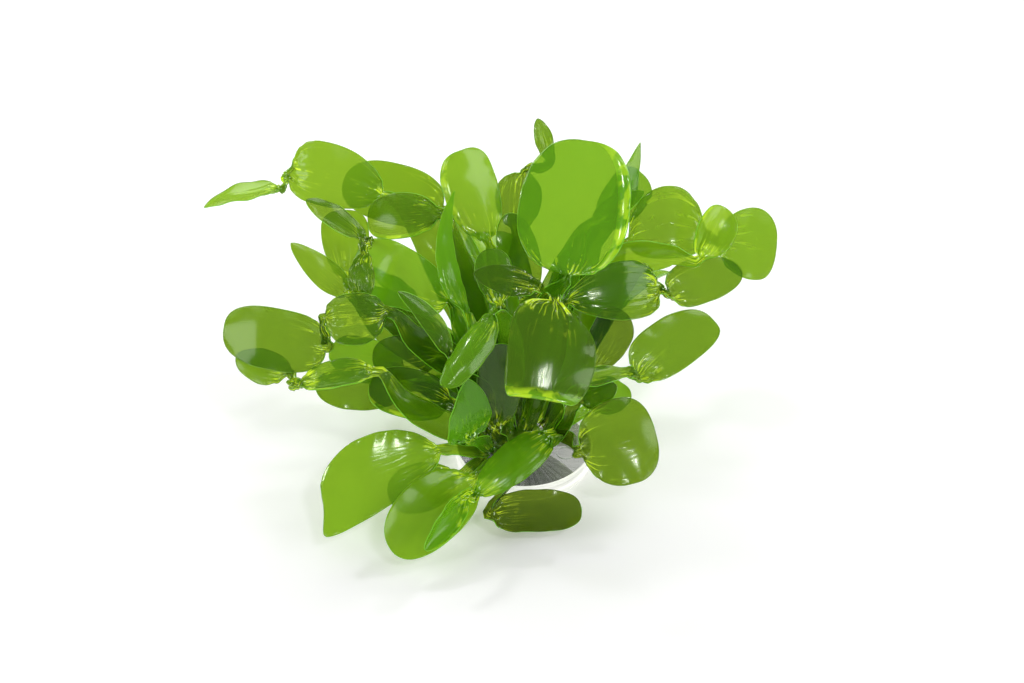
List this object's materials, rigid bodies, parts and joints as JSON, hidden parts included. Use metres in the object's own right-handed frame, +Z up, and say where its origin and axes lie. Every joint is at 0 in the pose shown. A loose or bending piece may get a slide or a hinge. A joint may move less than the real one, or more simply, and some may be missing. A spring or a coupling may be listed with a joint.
{
  "type": "artificial sea lettuce",
  "caption": "Artificial aquarium plant: glossy see-through green film lobes with pinched necks, bunched on a round clear base disc.",
  "frame": {"origin": "centre of the base disc's underside", "axes": "+Z up, +X to the right and -Y to the front, where the plant is seen from in the picture"},
  "size_m": [0.2944, 0.2043, 0.1436],
  "materials": {
    "green_film": "glossy see-through film",
    "melted_film": "melted and glued film",
    "clear_acrylic": "polished clear acrylic"
  },
  "bodies": {
    "root": {"base_disc": "clear_acrylic", "root_knot": "melted_film", "front_left_frond": "green_film", "front_left_under_frond": "green_film", "front_low_frond": "green_film", "front_frond": "green_film", "front_right_frond": "green_film", "front_upright_frond": "green_film", "inner_front_frond": "green_film", "centre_frond": "green_film", "centre_left_frond": "green_film", "centre_flap_frond": "green_film", "right_low_frond": "green_film", "right_inner_frond": "green_film", "right_frond": "green_film", "inner_right_frond": "green_film", "upper_right_frond": "green_film", "right_tip_frond": "green_film", "right_small_frond": "green_film", "top_frond": "green_film", "top_blade_frond": "green_film", "top_spike_frond": "green_film", "top_back_right_frond": "green_film", "top_back_frond": "green_film", "upper_middle_frond": "green_film", "upper_small_frond": "green_film", "upper_front_frond": "green_film", "upper_left_frond": "green_film", "upper_left_back_frond": "green_film", "upper_left_inner_frond": "green_film", "upper_blade_frond": "green_film", "left_strap_frond": "green_film", "left_middle_frond": "green_film", "left_back_frond": "green_film", "left_point_frond": "green_film", "left_long_frond": "green_film", "left_under_frond": "green_film", "left_low_frond": "green_film", "left_inner_frond": "green_film", "left_dark_frond": "green_film", "left_curved_frond": "green_film", "back_left_frond": "green_film", "back_low_left_frond": "green_film", "back_frond": "green_film", "back_low_frond": "green_film", "back_right_frond": "green_film", "back_low_right_frond": "green_film"}
  },
  "joints": []
}
